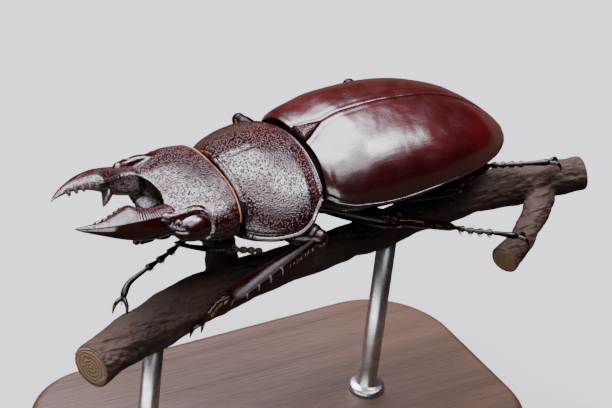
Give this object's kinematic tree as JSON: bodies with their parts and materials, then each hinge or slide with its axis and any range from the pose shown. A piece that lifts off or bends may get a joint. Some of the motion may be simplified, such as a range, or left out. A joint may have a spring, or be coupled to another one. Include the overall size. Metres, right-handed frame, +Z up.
{
  "type": "stag beetle",
  "caption": "Still, life-size male stag beetle with open toothed jaws, gripping a cut length of branch held over a flat base by short rods.",
  "frame": {"origin": "the middle of the box of the whole model, at the level of the stand's underside", "axes": "+X to the beetle's left, +Y towards its tail (the head faces -Y), +Z up"},
  "size_m": [0.03, 0.0606, 0.0388],
  "materials": {
    "cuticle_body": "near-black red-brown horn of the head, jaws and pronotum, finely pitted, with a soft gloss",
    "cuticle_wing": "smooth dark maroon horn of the wing cases, with a high soft gloss",
    "cuticle_limb": "near-black horn of the legs, feelers, mouth parts and underside",
    "eye": "dark red-black, polished",
    "hair": "short golden-orange bristles",
    "bark": "rough brown-grey bark, with pale cut ends",
    "stand_wood": "pale sanded wood, thinly waxed",
    "stand_steel": "plain satin steel"
  },
  "bodies": {
    "root": {"abdomen": "cuticle_limb", "antenna_left": "cuticle_limb", "antenna_right": "cuticle_limb", "eye_left": "eye", "eye_right": "eye", "femur_front_left": "cuticle_limb", "femur_front_right": "cuticle_limb", "femur_hind_left": "cuticle_limb", "femur_hind_right": "cuticle_limb", "femur_middle_left": "cuticle_limb", "femur_middle_right": "cuticle_limb", "head": "cuticle_body", "hind_thorax": "cuticle_limb", "labrum": "cuticle_limb", "mandible_left": "cuticle_body", "mandible_right": "cuticle_body", "mentum": "cuticle_limb", "perch_branch": "bark", "pronotum": "cuticle_body", "prosternum": "cuticle_limb", "scutellum": "cuticle_body", "stand_base": "stand_wood", "stand_rod_front": "stand_steel", "stand_rod_rear": "stand_steel", "tarsus_front_left": "cuticle_limb", "tarsus_front_right": "cuticle_limb", "tarsus_hind_left": "cuticle_limb", "tarsus_hind_right": "cuticle_limb", "tarsus_middle_left": "cuticle_limb", "tarsus_middle_right": "cuticle_limb", "tibia_front_left": "cuticle_limb", "tibia_front_right": "cuticle_limb", "tibia_hind_left": "cuticle_limb", "tibia_hind_right": "cuticle_limb", "tibia_middle_left": "cuticle_limb", "tibia_middle_right": "cuticle_limb", "wing_case_left": "cuticle_wing", "wing_case_right": "cuticle_wing"}
  },
  "joints": []
}
